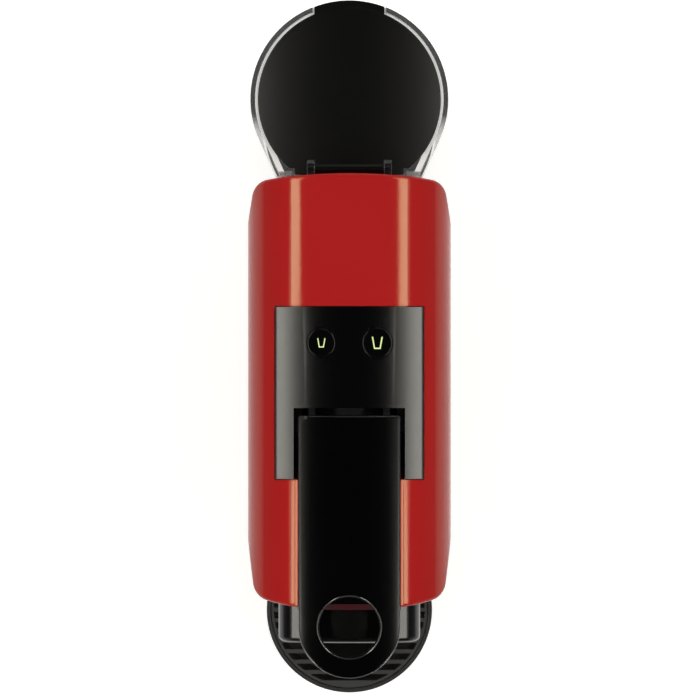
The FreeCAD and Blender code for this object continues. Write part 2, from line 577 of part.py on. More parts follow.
# Brewing carriage: a front plate drawn by two bars
axis = ("0", "capsule_axis")
plate_y = ("-carriage_front", "-plate_face")
bar_z = ("drawbar_bottom", "drawbar_bottom + drawbar_height")
yoke_y = ("crank_y - yoke_half - yoke_wall", "crank_y + yoke_half + yoke_wall")
carriage_pieces = [cylinder("carriage_disc", "y", axis, plate_y, "chamber_radius + fit_gap"),
                   box("carriage_bridge", both("drawbar_outer"), plate_y, bar_z),
                   cylinder("carriage_outlet", "y", ("0", "outlet_z"),
                            ("-(carriage_front + outlet_length)", "-carriage_front"), "outlet_radius")]
for i, span in enumerate(sides("drawbar_inner", "drawbar_outer")):
    carriage_pieces.append(box(f"drawbar_{i}", span, ("-carriage_front", yoke_y[1]), bar_z))
    carriage_pieces.append(box(f"yoke_{i}", span, yoke_y, ("drawbar_bottom", "slot_top + yoke_wall")))
yoke_slot = box("yoke_slot", both("half_width"), ("crank_y - yoke_half", "crank_y + yoke_half"),
                ("slot_bottom", "slot_top"))
plate_pocket = cylinder("plate_pocket", "y", axis, ("-(plate_face + plate_thickness)", "0"),
                        "plate_radius + running_gap")
carriage_bore = cylinder("carriage_bore_cut", "y", axis, ("-(carriage_front - plate_gap)", "0"),
                         "carriage_bore")
outlet_bore = cylinder("outlet_bore_cut", "y", ("0", "outlet_z"), ("-run", "-plate_face"), "outlet_bore")
carriage_core = cut("carriage_core", fuse("carriage_front_plate", *carriage_pieces[:2]), plate_pocket,
                    carriage_bore)
node(cut("brew_carriage", fuse("carriage_full", carriage_core, *carriage_pieces[2:]), yoke_slot, outlet_bore))

plate = cylinder("plate_disc", "y", axis, ("-(plate_face + plate_thickness)", "-plate_face"), "plate_radius")
rows = int(number("(carriage_bore - plate_hole) / plate_pitch"))
places = range(-rows, rows + 1)
holes = [(i, j) for i in places for j in places if i * i + j * j <= rows * rows]
plate_holes = [cylinder(f"plate_hole_{k}", "y", (f"{i} * plate_pitch", f"capsule_axis + {j} * plate_pitch"),
                        ("-carriage_front", "0"), "plate_hole") for k, (i, j) in enumerate(holes)]
node(cut("extraction_plate", plate, *plate_holes))

# Brewing chamber with piercing needles and seal
chamber = fuse("chamber_full",
               cylinder("chamber_cup", "y", axis, ("-chamber_mouth", "-chamber_rear"), "chamber_radius"),
               cylinder("chamber_stem", "y", axis, ("-chamber_rear", "-frame_rear"), "chamber_boss"),
               cylinder("chamber_nipple", "y", axis, ("-chamber_rear", "frame_back"), "nipple_radius"))
node(cut("brew_chamber", chamber,
         cylinder("chamber_hollow", "y", axis, ("-run", "-(chamber_mouth - chamber_depth)"), "chamber_bore")))
needle_span = ("-(chamber_mouth - chamber_depth + needle_length)", "-(chamber_mouth - chamber_depth)")
node(group("piercing_needles", [
    cone(f"needle_{turn}", "y", (f"needle_circle * cos({turn})",
                                 f"capsule_axis + needle_circle * sin({turn})"),
         needle_span, "needle_radius / 6", "needle_radius") for turn in (90, 210, 330)]))
seal_span = ("-(chamber_mouth + seal_thickness)", "-chamber_mouth")
node(cut("chamber_seal", cylinder("seal_disc", "y", axis, seal_span, "chamber_radius - plate_gap"),
         cylinder("seal_hole", "y", axis, ("-run", "0"), "seal_inner")))

# Frame that carries the brewing unit
frame_pieces = [box("frame_wall", both("frame_outer"), ("-frame_rear", "frame_back - frame_rear"),
                    ("shell_bottom", "frame_top")),
                box("frame_foot", both("frame_outer"), ("-frame_rear",
                                                        "frame_back - frame_rear + frame_flange"),
                    ("shell_bottom", "shell_bottom + frame_flange_height"))]
for i, span in enumerate(sides("frame_inner", "frame_outer")):
    frame_pieces.append(box(f"frame_cheek_{i}", span, ("-frame_front", "-frame_rear"),
                            ("frame_bottom", "frame_top")))
for i, span in enumerate(sides("drawbar_inner", "frame_inner")):
    frame_pieces.append(box(f"frame_rail_{i}", span, ("-frame_front", "-frame_rear"),
                            ("drawbar_bottom - rail_gap - rail_height", "drawbar_bottom - rail_gap")))
nipple_hole = cylinder("nipple_hole", "y", axis, ("-frame_front / 2", "run"), "nipple_radius + running_gap")
node(cut("brew_frame", fuse("frame_full", *frame_pieces), nipple_hole, *frame_bores))
flange_top = "shell_bottom + frame_flange_height"
node(group("frame_screws", [screw(f"frame_screw_{i}", place, flange_top, f"{flange_top} + screw_head",
                                  "foot_height + screw_head") for i, place in enumerate(frame_screw_places)]))

# Nose with the coffee outlet
nose_rim = nose_profile("nose_rim", "nose_flange", ("-rim_front", "-nose_rear"))
nose_flange = common("nose_flange_arch", nose_rim,
                     box("rim_limit", both("half_width"), ("-run", "0"),
                         ("head_underside + lip_radius", "above")))
nose_block = nose_profile("nose_block", "0", ("-nose_front", "-nose_rear"))
nose_block = rounded("nose_face", nose_block, "nose_round", lambda edge: at(edge, y="-nose_front"))
nose_hollow = nose_profile("nose_hollow", "-nose_wall", ("-(nose_front - nose_wall)", "0"))
hood_place = ("0", "-nose_front")
hood = cylinder("nose_hood", "z", hood_place, ("nose_bottom", "hood_top"), "hood_radius")
hood = rounded("hood_edge", hood, "nose_round", lambda edge: at(edge, z="hood_top"))
hood_hollow = cylinder("hood_hollow", "z", hood_place, ("nose_bottom + nose_wall", "hood_top - nose_wall"),
                       "hood_radius - nose_wall")
spout_place = ("0", "-spout_y")
nose_floor = "nose_bottom + nose_wall"
spout_hole = cylinder("spout_hole", "z", spout_place, ("head_underside", nose_floor),
                      "spout_radius + running_gap")
node(cut("nose_cover", fuse("nose_full", nose_flange, nose_block, hood), nose_hollow, hood_hollow,
         spout_hole))
spout = fuse("spout_full", cylinder("spout_tube", "z", spout_place, ("spout_end", nose_floor),
                                    "spout_radius"),
             cylinder("spout_collar", "z", spout_place, ("nose_bottom - spout_flange_height", "nose_bottom"),
                      "spout_flange"))
spout_bore = cylinder("spout_bore_cut", "z", spout_place, ("0", "above"), "spout_bore")
node(cut("coffee_spout", spout, spout_bore))
gutter_y = ("-(spout_y + gutter_width / 2)", "-gutter_rear")
gutter = box("gutter_block", both("gutter_width / 2"), gutter_y,
             (nose_floor, f"{nose_floor} + gutter_height"))
gutter_hollow = box("gutter_hollow", both("gutter_width / 2 - gutter_wall"),
                    (f"{gutter_y[0]} + gutter_wall", "-gutter_rear - gutter_wall"),
                    (f"{nose_floor} + gutter_wall", "above"))
gutter_notch = box("gutter_notch", both("outlet_radius + slide_gap"), ("-gutter_rear - 2 * gutter_wall", "0"),
                   ("outlet_z - outlet_radius - slide_gap", "above"))
node(cut("coffee_gutter", gutter, gutter_hollow, gutter_notch, spout_bore))

# Pull-out unit: carrier, capsule container and drip tray
tray_place = ("0", "-tray_y")
node(fuse("tray_carrier",
          box("carrier_slab", both("carrier_width / 2"), tray_place[1:] + ("-container_rear",),
              ("carrier_bottom", "carrier_top")),
          cylinder("carrier_disc", "z", tray_place, ("carrier_bottom", "carrier_top"),
                   "tray_radius - fit_gap")))
node(group("tray_feet", [cylinder(f"tray_foot_{i}", "z", (x, "-tray_foot_y"), ("0", "carrier_bottom"),
                                  "tray_foot_radius") for i,
                                  x in enumerate(("tray_foot_x", "-tray_foot_x"))]))
container = box("container_block", both("container_half"), ("-column_front", "-container_rear"),
                ("carrier_top", "container_top"))
node(cut("capsule_container", container,
         box("container_hollow", both("container_half - container_wall"),
             ("-(column_front - container_wall)", "-(container_rear + container_wall)"),
             ("carrier_top + container_wall", "above"))))
tray = cylinder("tray_blank", "z", tray_place, ("carrier_top", "tray_top"), "tray_radius")
tray = rounded("tray_rim", tray, "tray_round", lambda edge: at(edge, z="tray_top"))
node(cut("drip_tray", tray,
         cylinder("tray_mouth", "z", tray_place, ("ledge_top", "above"), "tray_radius - tray_wall"),
         cylinder("tray_well", "z", tray_place, ("carrier_top + tray_floor", "above"),
                  "tray_radius - tray_wall - tray_ledge")))

grid = cylinder("grid_disc", "z", tray_place, ("grid_bottom", "grid_top"), "grid_radius")
slot_count = int(number("2 * (grid_radius - grid_rim) / grid_pitch"))
grid_slots = []
for i in range(slot_count):
    middle = f"-tray_y + {i - (slot_count - 1) / 2} * grid_pitch"
    half_slot = "(grid_pitch - grid_bar) / 2"
    grid_slots.append(box(f"grid_slot_{i}", both("grid_radius"),
                          (f"{middle} - {half_slot}", f"{middle} + {half_slot}"),
                          ("0", "above")))
grid_field = cylinder("grid_field", "z", tray_place, ("0", "head_underside"), "grid_radius - grid_rim")
node(cut("drip_grid", grid, common("grid_openings", grid_field, fuse("grid_slot_set", *grid_slots))))

# Water tank on its seat
valve_place = ("0", "valve_y")
seat = tank_plan("seat_block", "seat_inset", "shell_rear", ("foot_height", "seat_top"))
socket = cylinder("seat_socket", "z", valve_place, ("tank_bottom - valve_reach - slide_gap", "above"),
                  "socket_radius")
node(cut("tank_seat", seat, socket, hose_hole))
tank_blank = tank_plan("tank_blank", "0", "tank_front", ("tank_bottom", "tank_top"))
tank_hollow = tank_plan("tank_hollow", "tank_wall", "tank_front + tank_wall", ("tank_inside", "above"))
ledge_z = ("tank_ledge_top - tank_ledge_height", "tank_ledge_top")
tank_shelf = cut("tank_shelf", tank_plan("shelf_block", "tank_wall / 2", "tank_front + tank_wall / 2",
                                         ledge_z),
                 tank_plan("shelf_hollow", "tank_wall + tank_ledge", "tank_front + tank_wall",
                           ("0", "above")))
hinge_notch = box("hinge_notch", both("notch_half"), ("shell_rear", "lug_rear + slide_gap"),
                  ("notch_bottom", "above"))
lugs = [box(f"hinge_lug_{i}", span, ("tank_front", "lug_rear"),
            ("notch_bottom - lug_height / 2", "hinge_z + knuckle_radius"))
        for i, span in enumerate(sides("lug_inner", "lug_outer"))]
hinge = ("hinge_y", "hinge_z")
pin_bore = cylinder("lid_pin_bore", "x", hinge, both("lug_outer"), "hinge_pin_radius + running_gap")
tab_notch = box("tab_notch", both("tab_half + slide_gap"), ("tank_y + lid_radius / 2", "run"),
                ("tab_top - tab_thickness - slide_gap", "above"))
valve_hole = cylinder("valve_hole", "z", valve_place, ("0", "tank_inside + tank_floor"),
                      "valve_radius + running_gap")
tank_open = cut("tank_open", fuse("tank_cup", cut("tank_walls", tank_blank, tank_hollow), tank_shelf),
                hinge_notch,
                tab_notch)
node(cut("water_tank", fuse("tank_full", tank_open, *lugs), pin_bore, valve_hole))

# Tank lid, hinged beside the body
lid_place = ("0", "tank_y")
lid_blank = cut("lid_blank", cylinder("lid_disc", "z", lid_place, ("lid_bottom", "above"), "lid_radius"),
                box("lid_trim", both("body_width"), ("0", "lid_front"), ("0", "above")))
lid_tongue = box("lid_tongue", both("lid_tongue_width / 2"),
                 ("lid_tongue_front", "lid_front + lid_thickness"),
                 ("lid_top - lid_tongue_thickness", "above"))
lid_crown = cylinder("lid_crown_bar", "y", ("0", "lid_top - lid_crown"), ("0", "run"), "lid_crown")
lid_arched = common("lid_arched", fuse("lid_flat", lid_blank, lid_tongue), lid_crown)
lid_knuckle = cylinder("lid_knuckle", "x", hinge, both("knuckle_width / 2"), "knuckle_radius")
lid_tab = common("lid_tab", cylinder("tab_disc", "z", lid_place, ("tab_top - tab_thickness", "tab_top"),
                                     "tab_reach"),
                 box("tab_limit", both("tab_half"), ("tank_y + lid_radius / 2", "run"), ("0", "above")))
lug_gaps = [box(f"lug_gap_{i}", span, ("0", "hinge_y + lug_clear"), ("0", "above"))
            for i, span in enumerate(sides("lug_inner - fit_gap", "lug_outer + fit_gap"))]
lid_plate = cut("lid_plate", lid_arched, *lug_gaps)
node(cut("tank_lid", fuse("lid_full", lid_plate, lid_knuckle, lid_tab), pin_bore))
node(cylinder("lid_hinge_pin", "x", hinge, both("lug_outer"), "hinge_pin_radius"))

# Tank valve and its ring seal
valve_low = "tank_bottom - valve_reach"
valve = fuse("valve_full", cylinder("valve_stub", "z", valve_place, (valve_low, "tank_inside"),
                                    "valve_radius"),
             cylinder("valve_collar", "z", valve_place, ("tank_inside", "tank_inside + valve_flange_height"),
                      "valve_flange"))
node(cut("tank_valve", valve, cylinder("valve_bore_cut", "z", valve_place, ("0", "above"), "valve_bore")))
ring = doc.addObject("Part::Torus", "valve_seal")
bind(ring, "Radius1", "valve_radius + o_ring_wire + running_gap")
bind(ring, "Radius2", "o_ring_wire")
bind(ring, "Placement.Base.y", "valve_y")
bind(ring, "Placement.Base.z", f"{valve_low} + valve_reach / 2")
node(ring)

# Water circuit: flow meter, pump on its saddle, heater on its bracket, and hoses
node(cylinder("flow_meter", "z", ("0", "meter_y"), ("shell_bottom", "shell_bottom + meter_height"),
              "meter_radius"))
pump_place = ("-pump_x", "pump_y")
node(fuse("pump", cylinder("pump_body", "z", pump_place, ("pump_bottom", "pump_top"), "pump_radius"),
          cylinder("pump_nipples", "z", pump_place, ("pump_bottom - nipple_length",
                                                     "pump_top + nipple_length"),
                   "nipple_radius")))
saddle_half = "pump_radius + cradle_wall"
saddle = box("saddle_block", (f"-pump_x - ({saddle_half})", f"-pump_x + {saddle_half}"),
             ("pump_y - cradle_depth / 2", "pump_y + cradle_depth / 2"),
             ("shell_bottom", "pump_bottom + cradle_grip"))
node(cut("pump_saddle", saddle, cylinder("saddle_bore", "z", pump_place, ("pump_bottom", "above"),
                                         "pump_radius + fit_gap"),
         box("saddle_tunnel", ("-pump_x - cradle_tunnel / 2", "-pump_x + cradle_tunnel / 2"),
             ("0", "inner_rear"),
             ("0", "pump_bottom + running_gap"))))
heater_x = ("heater_x - heater_width / 2", "heater_x + heater_width / 2")
heater = box("heater_block", heater_x, ("heater_front", "heater_front + heater_depth"),
             ("heater_bottom", "heater_top"))
groove_step = "heater_height / (heater_grooves + 1)"
grooves = [box(f"heater_groove_{i}", (f"{heater_x[1]} - heater_groove", "half_width"), ("0", "inner_rear"),
               (f"heater_bottom + {i} * {groove_step} - heater_groove / 2",
                f"heater_bottom + {i} * {groove_step} + heater_groove / 2"))
           for i in range(1, int(number("heater_grooves")) + 1)]
node(cut("heater", heater, *grooves))
node(box("heater_bracket", ("heater_x - post_width / 2", "heater_x + post_width / 2"),
         ("heater_middle - post_width / 2", "heater_middle + post_width / 2"),
         ("shell_bottom", "heater_bottom")))
node(hose("inlet_hose", [("0", "valve_y - socket_radius - fit_gap", "hose_height"),
                         ("0", "meter_y + meter_radius", "hose_height")], "hose_radius"))
node(hose("pump_hose", [("-meter_radius", "meter_y", "hose_height"), ("-pump_x", "meter_y", "hose_height"),
                        ("-pump_x", "pump_y", "hose_height"),
                        ("-pump_x", "pump_y", "pump_bottom - nipple_length")],
          "hose_radius"))
hose_top = "pump_top + nipple_length + hose_rise"
node(hose("heater_hose", [("-pump_x", "pump_y", "pump_top + nipple_length"), ("-pump_x", "pump_y", hose_top),
                          ("heater_x", "pump_y", hose_top), ("heater_x", "pump_y", "heater_top")],
                          "hose_radius"))
outlet_y = "heater_front + nipple_length"
node(hose("brew_hose", [("heater_x", outlet_y, "heater_top"), ("heater_x", outlet_y, "capsule_axis"),
                        ("0", outlet_y, "capsule_axis"), ("0", "frame_back", "capsule_axis")], "hose_radius"))

# Main circuit board on four standoffs
node(box("main_board", both("main_board_width / 2"), ("board_face - board_thickness", "board_face"),
         ("main_board_bottom", "main_board_bottom + main_board_height")))
standoff_x = "main_board_width / 2 - standoff_inset"
standoff_end = ("shell_rear - rear_bow"
                f" + sqrt((rear_bow - shell_wall) ^ 2 - ({standoff_x} + standoff_radius) ^ 2)")
standoff_z = ("main_board_bottom + standoff_inset", "main_board_bottom + main_board_height - standoff_inset")
standoff_places = [(x, z) for x in both(standoff_x) for z in standoff_z]
node(group("board_standoffs", [cylinder(f"standoff_{i}", "y", place, ("board_face", standoff_end),
                                        "standoff_radius")
                               for i, place in enumerate(standoff_places)]))

doc.recompute()
failed = [item.Label for item in doc.Objects if {"Invalid", "Error"} & set(item.State)]
if failed:
    raise RuntimeError("failed objects: " + ", ".join(failed))
for item in nodes:
    if item.Shape.isNull() or not item.Shape.isValid() or not item.Shape.Solids:
        raise RuntimeError("bad shape: " + item.Label)

os.makedirs("parts", exist_ok=True)
for item in nodes:
    item.Shape.exportStep(f"parts/{item.Label}.step")
    print(item.Label, len(item.Shape.Solids), round(item.Shape.Volume))
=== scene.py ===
import math

import bmesh
import bpy
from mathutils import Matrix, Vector
from mathutils.bvhtree import BVHTree


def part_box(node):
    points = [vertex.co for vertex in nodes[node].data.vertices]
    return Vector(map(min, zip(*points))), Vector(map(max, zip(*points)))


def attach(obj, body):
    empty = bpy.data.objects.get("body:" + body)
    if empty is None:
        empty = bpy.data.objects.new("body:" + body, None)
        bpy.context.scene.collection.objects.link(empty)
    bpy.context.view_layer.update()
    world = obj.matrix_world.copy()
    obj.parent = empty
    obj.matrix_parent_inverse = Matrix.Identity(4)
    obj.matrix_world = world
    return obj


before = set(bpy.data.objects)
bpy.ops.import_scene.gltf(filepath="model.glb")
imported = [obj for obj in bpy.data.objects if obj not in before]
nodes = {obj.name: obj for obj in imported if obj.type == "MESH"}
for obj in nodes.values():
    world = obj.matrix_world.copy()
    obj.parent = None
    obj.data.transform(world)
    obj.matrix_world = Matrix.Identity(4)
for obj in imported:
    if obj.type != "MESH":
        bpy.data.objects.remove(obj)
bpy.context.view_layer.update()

scene = bpy.context.scene
mm = 0.001
bothSides = ((-1, "left"), (1, "right"))
print("frame:", len(nodes), "nodes")


def tone(red, green, blue):
    # A colour given as 0 to 255 screen values, in the linear values that the shaders use
    def linear(value):
        share = value / 255
        return share / 12.92 if share <= 0.04045 else ((share + 0.055) / 1.055) ** 2.4
    return (linear(red), linear(green), linear(blue), 1)


def grey(level):
    return (level, level, level, 1)


class Wire:
    # A socket of a node tree, so that shader maths reads as plain sums and products
    def __init__(self, tree, socket=None):
        self.tree = tree
        self.socket = socket

    def add(self, kind, settings=(), inputs=(), output=0):
        item = self.tree.nodes.new(kind)
        for key, value in dict(settings).items():
            setattr(item, key, value)
        for key, value in dict(inputs).items():
            if isinstance(value, Wire):
                self.tree.links.new(value.socket, item.inputs[key])
            else:
                item.inputs[key].default_value = value
        return Wire(self.tree, item.outputs[output] if len(item.outputs) else None)

    def sibling(self, output):
        # Another output of the same node
        return Wire(self.tree, self.socket.node.outputs[output])

    def maths(self, operation, *values):
        return self.add("ShaderNodeMath", {"operation": operation}, enumerate(values))

    def __add__(self, other):
        return self.maths("ADD", self, other)

    __radd__ = __add__

    def __sub__(self, other):
        return self.maths("SUBTRACT", self, other)

    def __rsub__(self, other):
        return self.maths("SUBTRACT", other, self)

    def __mul__(self, other):
        return self.maths("MULTIPLY", self, other)

    __rmul__ = __mul__

    def __pow__(self, other):
        return self.maths("POWER", self, other)

    def __abs__(self):
        return self.maths("ABSOLUTE", self)

    def most(self, other):
        # The larger of two values
        return self.maths("MAXIMUM", self, other)

    def above(self, edge, soft):
        # 0 below the edge and 1 above it, with a soft step between
        return self.add("ShaderNodeMapRange", {"interpolation_type": "SMOOTHSTEP"},
                        {"Value": self, "From Min": edge - soft, "From Max": edge + soft})

    def around(self, middle, spread):
        # A value about the middle, from a pattern that lies about a half
        return middle + (self - 0.5) * spread

    def blend(self, low, high):
        # A colour between two others; the numbers are the Mix node's sockets for colours
        return self.add("ShaderNodeMix", {"data_type": "RGBA"}, {0: self, 6: low, 7: high}, output=2)


def startFinish(name):
    finish = bpy.data.materials.new(name)
    finish.use_nodes = True
    finish.node_tree.nodes.clear()
    wire = Wire(finish.node_tree)
    place = wire.add("ShaderNodeTexCoord", output="Object")
    return finish, wire, place


def noise(place, size, detail=2, stretch=(1, 1, 1)):
    # Soft random patches about as wide as size, in metres
    scale = [share / size for share in stretch]
    spot = place.add("ShaderNodeMapping", {}, {"Vector": place, "Scale": scale})
    return place.add("ShaderNodeTexNoise", {}, {"Vector": spot, "Scale": 1.0, "Detail": detail})


finishDetail = {"edgeSamples": 4, "reliefStrength": 0.3, "patchShare": 0.7, "streakShare": 0.6}


def closeFinish(wire, look, colour, rough, height, extra=()):
    # look["edge"] rounds off the edges and look["relief"] is the depth of the relief, both in metres
    rounded = wire.add("ShaderNodeBevel", {"samples": finishDetail["edgeSamples"]},
                       {"Radius": look["edge"]})
    normal = wire.add("ShaderNodeBump", {}, {
        "Strength": finishDetail["reliefStrength"], "Distance": look["relief"], "Height": height,
        "Normal": rounded})
    sockets = {"Base Color": colour, "Roughness": rough, "Normal": normal}
    sockets.update(extra)
    shader = wire.add("ShaderNodeBsdfPrincipled", {}, sockets)
    wire.add("ShaderNodeOutputMaterial", {}, {"Surface": shader})


lacquerLooks = {
    "redLacquer": {"deep": tone(168, 31, 32), "light": tone(176, 34, 35), "tint": (0.8, 0.76, 0.48, 1),
                   "flow": 40 * mm, "dust": 4 * mm, "wave": 18 * mm, "rough": 0.07, "roughSpread": 0.03,
                   "ior": 1.4, "edge": 0.7 * mm, "relief": 0.02 * mm},
    # Red darkened as painted shade, for the shaded end of the lever's channel
    "darkRed": {"deep": tone(56, 10, 16), "light": tone(68, 13, 20), "flow": 30 * mm, "dust": 4 * mm,
                "wave": 12 * mm, "rough": 0.3, "roughSpread": 0.04, "ior": 1.4, "edge": 0.3 * mm,
                "relief": 0.01 * mm},
    "pianoBlack": {"deep": tone(3, 3, 4), "light": tone(7, 7, 8), "flow": 25 * mm, "dust": 3 * mm,
                   "wave": 7 * mm, "rough": 0.15, "roughSpread": 0.03, "ior": 1.42, "edge": 0.1 * mm,
                   "relief": 0.01 * mm},
    "leverBlack": {"deep": tone(3, 3, 4), "light": tone(6, 6, 7), "flow": 25 * mm, "dust": 3 * mm,
                   "wave": 9 * mm, "rough": 0.1, "roughSpread": 0.02, "ior": 1.4, "edge": 0.3 * mm,
                   "relief": 0.01 * mm},
    "noseBlack": {"deep": tone(3, 3, 4), "light": tone(7, 7, 8), "flow": 25 * mm, "dust": 3 * mm,
                  "wave": 7 * mm, "rough": 0.21, "roughSpread": 0.03, "ior": 1.5, "edge": 0.5 * mm,
                  "relief": 0.01 * mm},
    # Painted highlight: a grey bead, lighter and glossier than the lever, for the highlight on the lever's
    # rounded edge
    "edgeGrey": {"deep": tone(30, 31, 31), "light": tone(40, 41, 41), "flow": 12 * mm, "dust": 2 * mm,
                 "wave": 6 * mm, "rough": 0.2, "roughSpread": 0.04, "ior": 2.5, "edge": 0.1 * mm,
                 "relief": 0.01 * mm},
    "lidBlack": {"deep": tone(4, 4, 5), "light": tone(8, 8, 9), "flow": 30 * mm, "dust": 3 * mm,
                 "wave": 8 * mm, "rough": 0.26, "roughSpread": 0.04, "ior": 1.38, "edge": 0.5 * mm,
                 "relief": 0.01 * mm},
}


def lacquer(name, look):
    # Glossy moulded plastic: faint flow marks in the colour, fine waviness, tiny dust in the gloss
    finish, wire, place = startFinish(name)
    flow = noise(place, look["flow"], detail=3)
    dust = noise(place, look["dust"], detail=4)
    wave = noise(place, look["wave"], detail=1)
    colour = flow.blend(look["deep"], look["light"])
    rough = dust.around(look["rough"], look["roughSpread"])
    closeFinish(wire, look, colour, rough, wave,
                {"IOR": look["ior"], "Specular Tint": look.get("tint", grey(1))})
    return finish


mouldedLooks = {
    "trayPlastic": {"deep": tone(28, 29, 30), "light": tone(40, 41, 42), "patch": 18 * mm,
                    "grain": 0.5 * mm, "rough": 0.42, "roughSpread": 0.12, "edge": 0.4 * mm,
                    "relief": 0.03 * mm},
    "gridPlastic": {"deep": tone(44, 45, 46), "light": tone(58, 59, 60), "patch": 14 * mm,
                    "grain": 0.4 * mm, "rough": 0.38, "roughSpread": 0.12, "edge": 0.35 * mm,
                    "relief": 0.02 * mm},
    "innerPlastic": {"deep": tone(46, 47, 50), "light": tone(62, 63, 66), "patch": 15 * mm,
                     "grain": 0.6 * mm, "rough": 0.5, "roughSpread": 0.15, "edge": 0.4 * mm,
                     "relief": 0.03 * mm},
    "softRubber": {"deep": tone(22, 22, 22), "light": tone(36, 36, 35), "patch": 6 * mm,
                   "grain": 0.3 * mm, "rough": 0.75, "roughSpread": 0.2, "edge": 0.6 * mm,
                   "relief": 0.04 * mm},
    "siliconeHose": {"deep": tone(196, 194, 186), "light": tone(218, 216, 208), "patch": 12 * mm,
                     "grain": 0.8 * mm, "rough": 0.45, "roughSpread": 0.1, "edge": 0.3 * mm,
                     "relief": 0.02 * mm},
}


def moulded(name, look):
    # Matt moulded plastic or rubber: spark-eroded grain and faint patches
    finish, wire, place = startFinish(name)
    patch = noise(place, look["patch"], detail=3)
    grain = noise(place, look["grain"], detail=3)
    share = finishDetail["patchShare"]
    colour = (patch * share + grain * (1 - share)).blend(look["deep"], look["light"])
    closeFinish(wire, look, colour, grain.around(look["rough"], look["roughSpread"]), grain)
    return finish


metalLooks = {
    "brushedSteel": {"deep": tone(168, 170, 172), "light": tone(206, 207, 208), "streak": 0.4 * mm,
                     "stretch": (0.05, 1, 1), "stain": 4 * mm, "rough": 0.28, "roughSpread": 0.14,
                     "edge": 0.3 * mm, "relief": 0.01 * mm},
    "blackenedSteel": {"deep": tone(26, 26, 27), "light": tone(44, 44, 45), "streak": 0.5 * mm,
                       "stretch": (0.1, 1, 1), "stain": 4 * mm, "rough": 0.5, "roughSpread": 0.15,
                       "edge": 0.3 * mm, "relief": 0.01 * mm},
    "castAluminium": {"deep": tone(158, 160, 163), "light": tone(190, 191, 193), "streak": 0.9 * mm,
                      "stretch": (1, 1, 1), "stain": 7 * mm, "rough": 0.46, "roughSpread": 0.2,
                      "edge": 0.6 * mm, "relief": 0.06 * mm},
    "zincedSteel": {"deep": tone(138, 142, 146), "light": tone(184, 187, 190), "streak": 2.5 * mm,
                    "stretch": (1, 0.6, 1), "stain": 5 * mm, "rough": 0.36, "roughSpread": 0.18,
                    "edge": 0.4 * mm, "relief": 0.02 * mm},
}


def metal(name, look):
    # Bare metal: streaks or cast grain, and stains, in the colour and the gloss
    finish, wire, place = startFinish(name)
    streak = noise(place, look["streak"], detail=3, stretch=look["stretch"])
    stain = noise(place, look["stain"], detail=4)
    share = finishDetail["streakShare"]
    colour = (streak * share + stain * (1 - share)).blend(look["deep"], look["light"])
    rough = streak.around(stain.around(look["rough"], look["roughSpread"]), look["roughSpread"])
    closeFinish(wire, look, colour, rough, streak, {"Metallic": 1.0})
    return finish


# The shelf colour and its glow are a painted highlight, and the rim colour is painted shade
tankLook = {
    "body": tone(206, 212, 214), "rim": tone(20, 21, 22), "paintedHighlightShelf": tone(255, 255, 255), "shelfPaintedGlow": 0.22,
    "alpha": 0.16, "edgeAlpha": 0.5, "edgeBlend": 0.35, "rimAlpha": 0.9, "shelfAlpha": 1.0, "ior": 1.49,
    "upFrom": 0.8, "upSoft": 0.1, "rimDepth": 5 * mm, "shelfDepth": 14 * mm, "depthSoft": 0.5 * mm,
    "rimEnd": 108 * mm, "rimEndSoft": 7 * mm, "hingeHalf": 26 * mm, "hingeSoft": 2 * mm,
    "ripple": 12 * mm, "stretch": (1, 1, 0.2), "rough": 0.08, "rippleRough": 0.06, "relief": 0.05 * mm,
    "edge": 0.5 * mm,
}


def clearTank(look):
    # Clear plastic: faint from straight on and denser along its edges. The rim's top and the hinge lugs
    # are painted dark as painted shade, fading out towards the body, and the lid's shelf below it is
    # painted white and glows as a painted highlight.
    finish, wire, place = startFinish("clearTank")
    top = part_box("water_tank")[1].z
    across = wire.add("ShaderNodeSeparateXYZ", {}, {"Vector": place}, output="X")
    back = across.sibling("Y")
    height = across.sibling("Z")
    upward = wire.add("ShaderNodeSeparateXYZ", {}, {"Vector": place.sibling("Normal")}, output="Z")
    level = upward.above(look["upFrom"], look["upSoft"])
    rimTop = level * height.above(top - look["rimDepth"], look["depthSoft"])
    paintedHighlightShelf = level * height.above(top - look["shelfDepth"], look["depthSoft"]) - rimTop
    hinge = 1 - abs(across).above(look["hingeHalf"], look["hingeSoft"])
    # Painted shade on the rim's top and the hinge lugs, fading out towards the body
    rim = rimTop * hinge.most(back.above(look["rimEnd"], look["rimEndSoft"]))
    facing = wire.add("ShaderNodeLayerWeight", {}, {"Blend": look["edgeBlend"]}, output="Facing")
    ripple = noise(place, look["ripple"], stretch=look["stretch"])
    side = look["alpha"] + facing * look["edgeAlpha"]
    alpha = side + rim * (look["rimAlpha"] - side) + paintedHighlightShelf * (look["shelfAlpha"] - side)
    # The shelf is painted white as a painted highlight, and the rim is painted dark as painted shade
    colour = paintedHighlightShelf.blend(rim.blend(look["body"], look["rim"]), look["paintedHighlightShelf"])
    # Painted glow on the shelf, part of its painted highlight
    glow = paintedHighlightShelf.blend(grey(0), grey(look["shelfPaintedGlow"]))
    closeFinish(wire, look, colour, look["rough"] + ripple * look["rippleRough"], ripple,
                {"Alpha": alpha, "IOR": look["ior"], "Emission Color": glow, "Emission Strength": 1.0})
    return finish


# Traces are measured in pitches, and pads in their own spacing
boardLook = {"mask": tone(18, 74, 44), "trace": tone(44, 118, 72), "gold": tone(196, 158, 78),
             "pitch": 3.2 * mm, "traceLength": 2.3, "traceWidth": 0.5, "traceGap": 0.12, "padDensity": 0.7,
             "padReach": 0.16, "padSoft": 0.02, "rough": 0.4, "padGloss": 0.15, "edge": 0.2 * mm,
             "relief": 0.03 * mm}


